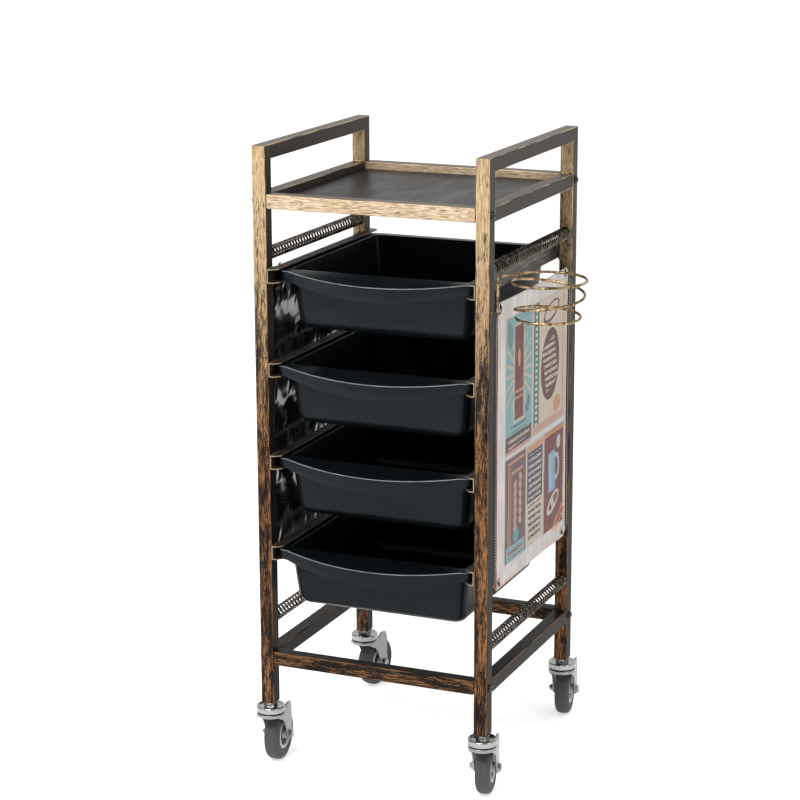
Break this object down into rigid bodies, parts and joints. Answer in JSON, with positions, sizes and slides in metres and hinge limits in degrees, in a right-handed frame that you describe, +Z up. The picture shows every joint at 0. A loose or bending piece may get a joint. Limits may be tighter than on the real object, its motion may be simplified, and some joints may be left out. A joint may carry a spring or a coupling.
{
  "type": "rolling salon trolley",
  "caption": "Square-tube salon trolley with sliding plastic drawers, a recessed tray, laced side panels, coil-spring tool holders, a swinging hair dryer ring and swivel casters.",
  "frame": {"origin": "on the floor under the middle of the whole trolley's box, 55 mm to the right of and 12 mm behind the frame's own centre line", "axes": "+Z up, +X to the trolley's right, where the hair dryer ring hangs, -Y to the front, where the drawers open"},
  "size_m": [0.492, 0.4418, 0.9],
  "materials": {
    "bronze_frame": "antique bronze: black lacquer brushed through with gold and copper streaks",
    "bronze_runner": "dark antique bronze lacquer",
    "black_bolt": "black oxide",
    "black_sheet": "satin black",
    "drawer_plastic": "fine satin grain",
    "spring_steel": "dark bronze lacquer",
    "brass_wire": "antique brass lacquer",
    "printed_sheet": "coated canvas, printed outside, glossy black inside",
    "zinc": "bright zinc plate",
    "tyre_rubber": "matte grey rubber",
    "hub_plastic": "moulded grey"
  },
  "bodies": {
    "trolley": {"left_side_frame": "bronze_frame", "right_side_frame": "bronze_frame", "tray_front_crossbar": "bronze_frame", "bolt_tray_front_left": "black_bolt", "bolt_tray_front_right": "black_bolt", "base_front_crossbar": "bronze_frame", "bolt_base_front_left": "black_bolt", "bolt_base_front_right": "black_bolt", "tray_rear_crossbar": "bronze_frame", "bolt_tray_rear_left": "black_bolt", "bolt_tray_rear_right": "black_bolt", "base_rear_crossbar": "bronze_frame", "bolt_base_rear_left": "black_bolt", "bolt_base_rear_right": "black_bolt", "tray_pan": "black_sheet", "runner_1_left": "bronze_runner", "runner_1_right": "bronze_runner", "runner_2_left": "bronze_runner", "runner_2_right": "bronze_runner", "runner_3_left": "bronze_runner", "runner_3_right": "bronze_runner", "runner_4_left": "bronze_runner", "runner_4_right": "bronze_runner", "spring_upper_left": "spring_steel", "spring_lower_left": "spring_steel", "side_panel_left": "printed_sheet", "spring_upper_right": "spring_steel", "spring_lower_right": "spring_steel", "side_panel_right": "printed_sheet", "caster_front_left_swivel_cup": "zinc", "caster_front_left_lock_nut": "zinc", "caster_front_right_swivel_cup": "zinc", "caster_front_right_lock_nut": "zinc", "caster_rear_left_swivel_cup": "zinc", "caster_rear_left_lock_nut": "zinc", "caster_rear_right_swivel_cup": "zinc", "caster_rear_right_lock_nut": "zinc"},
    "drawer_1": {"drawer_1": "drawer_plastic"},
    "drawer_2": {"drawer_2": "drawer_plastic"},
    "drawer_3": {"drawer_3": "drawer_plastic"},
    "drawer_4": {"drawer_4": "drawer_plastic"},
    "dryer_holder": {"dryer_ring": "brass_wire"},
    "fork_front_left": {"caster_front_left_fork": "zinc", "caster_front_left_axle_bolt": "zinc"},
    "wheel_front_left": {"caster_front_left_hub": "hub_plastic", "caster_front_left_tyre": "tyre_rubber"},
    "fork_front_right": {"caster_front_right_fork": "zinc", "caster_front_right_axle_bolt": "zinc"},
    "wheel_front_right": {"caster_front_right_hub": "hub_plastic", "caster_front_right_tyre": "tyre_rubber"},
    "fork_rear_left": {"caster_rear_left_fork": "zinc", "caster_rear_left_axle_bolt": "zinc"},
    "wheel_rear_left": {"caster_rear_left_hub": "hub_plastic", "caster_rear_left_tyre": "tyre_rubber"},
    "fork_rear_right": {"caster_rear_right_fork": "zinc", "caster_rear_right_axle_bolt": "zinc"},
    "wheel_rear_right": {"caster_rear_right_hub": "hub_plastic", "caster_rear_right_tyre": "tyre_rubber"}
  },
  "joints": [
    {"name": "drawer_1_slide", "type": "slide", "parent": "trolley", "child": "drawer_1", "axis": [0, -1, 0], "range_m": [0, 0.22]},
    {"name": "drawer_2_slide", "type": "slide", "parent": "trolley", "child": "drawer_2", "axis": [0, -1, 0], "range_m": [-0.01, 0.21]},
    {"name": "drawer_3_slide", "type": "slide", "parent": "trolley", "child": "drawer_3", "axis": [0, -1, 0], "range_m": [-0.01, 0.21]},
    {"name": "drawer_4_slide", "type": "slide", "parent": "trolley", "child": "drawer_4", "axis": [0, -1, 0], "range_m": [-0.015, 0.205]},
    {"name": "dryer_holder_swing", "type": "hinge", "parent": "trolley", "child": "dryer_holder", "pos_m": [0.12554, -0.17744, 0.7445], "axis": [0, 0, 1], "range_deg": [-75, 38]},
    {"name": "caster_front_left_swivel", "type": "hinge", "parent": "trolley", "child": "fork_front_left", "pos_m": [-0.21846, -0.17744, 0.08], "axis": [0, 0, 1], "continuous": true},
    {"name": "wheel_front_left_spin", "type": "hinge", "parent": "fork_front_left", "child": "wheel_front_left", "pos_m": [-0.2216, -0.1476, 0.038], "axis": [0.9945, 0.1045, 0], "continuous": true},
    {"name": "caster_front_right_swivel", "type": "hinge", "parent": "trolley", "child": "fork_front_right", "pos_m": [0.10754, -0.17744, 0.08], "axis": [0, 0, 1], "continuous": true},
    {"name": "wheel_front_right_spin", "type": "hinge", "parent": "fork_front_right", "child": "wheel_front_right", "pos_m": [0.10182, -0.14799, 0.038], "axis": [0.9816, 0.1908, 0], "continuous": true},
    {"name": "caster_rear_left_swivel", "type": "hinge", "parent": "trolley", "child": "fork_rear_left", "pos_m": [-0.21846, 0.15256, 0.08], "axis": [0, 0, 1], "continuous": true},
    {"name": "wheel_rear_left_spin", "type": "hinge", "parent": "fork_rear_left", "child": "wheel_rear_left", "pos_m": [-0.21428, 0.18227, 0.038], "axis": [0.9903, -0.1392, 0], "continuous": true},
    {"name": "caster_rear_right_swivel", "type": "hinge", "parent": "trolley", "child": "fork_rear_right", "pos_m": [0.10754, 0.15256, 0.08], "axis": [0, 0, 1], "continuous": true},
    {"name": "wheel_rear_right_spin", "type": "hinge", "parent": "fork_rear_right", "child": "wheel_rear_right", "pos_m": [0.10233, 0.1821, 0.038], "axis": [0.9848, 0.1736, 0], "continuous": true}
  ]
}
